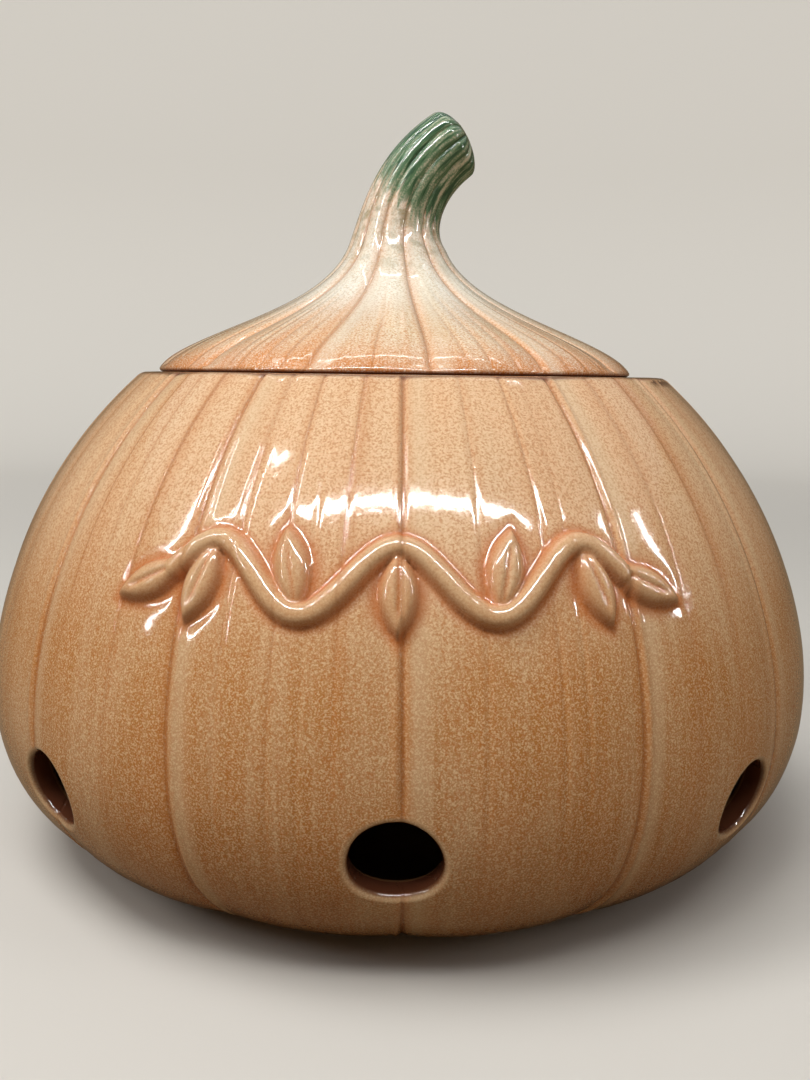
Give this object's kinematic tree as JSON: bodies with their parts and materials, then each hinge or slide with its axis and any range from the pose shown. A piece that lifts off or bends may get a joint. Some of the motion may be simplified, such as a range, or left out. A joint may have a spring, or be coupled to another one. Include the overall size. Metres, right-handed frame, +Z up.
{
  "type": "onion keeper",
  "caption": "Round glazed ceramic storage jar with a raised vine, air vents round its foot and a loose lid with a bent stem handle.",
  "frame": {"origin": "centre of the face the jar stands on", "axes": "+Z up through the lid, -Y towards the viewer's front, +X the way the handle leans"},
  "size_m": [0.2399, 0.2383, 0.2101],
  "materials": {
    "jar_glaze": "glossy speckled peach and cream glaze",
    "lid_glaze": "glossy speckled peach and cream glaze with a brushed green tip"
  },
  "bodies": {
    "root": {"jar": "jar_glaze", "lid": "lid_glaze"}
  },
  "joints": []
}
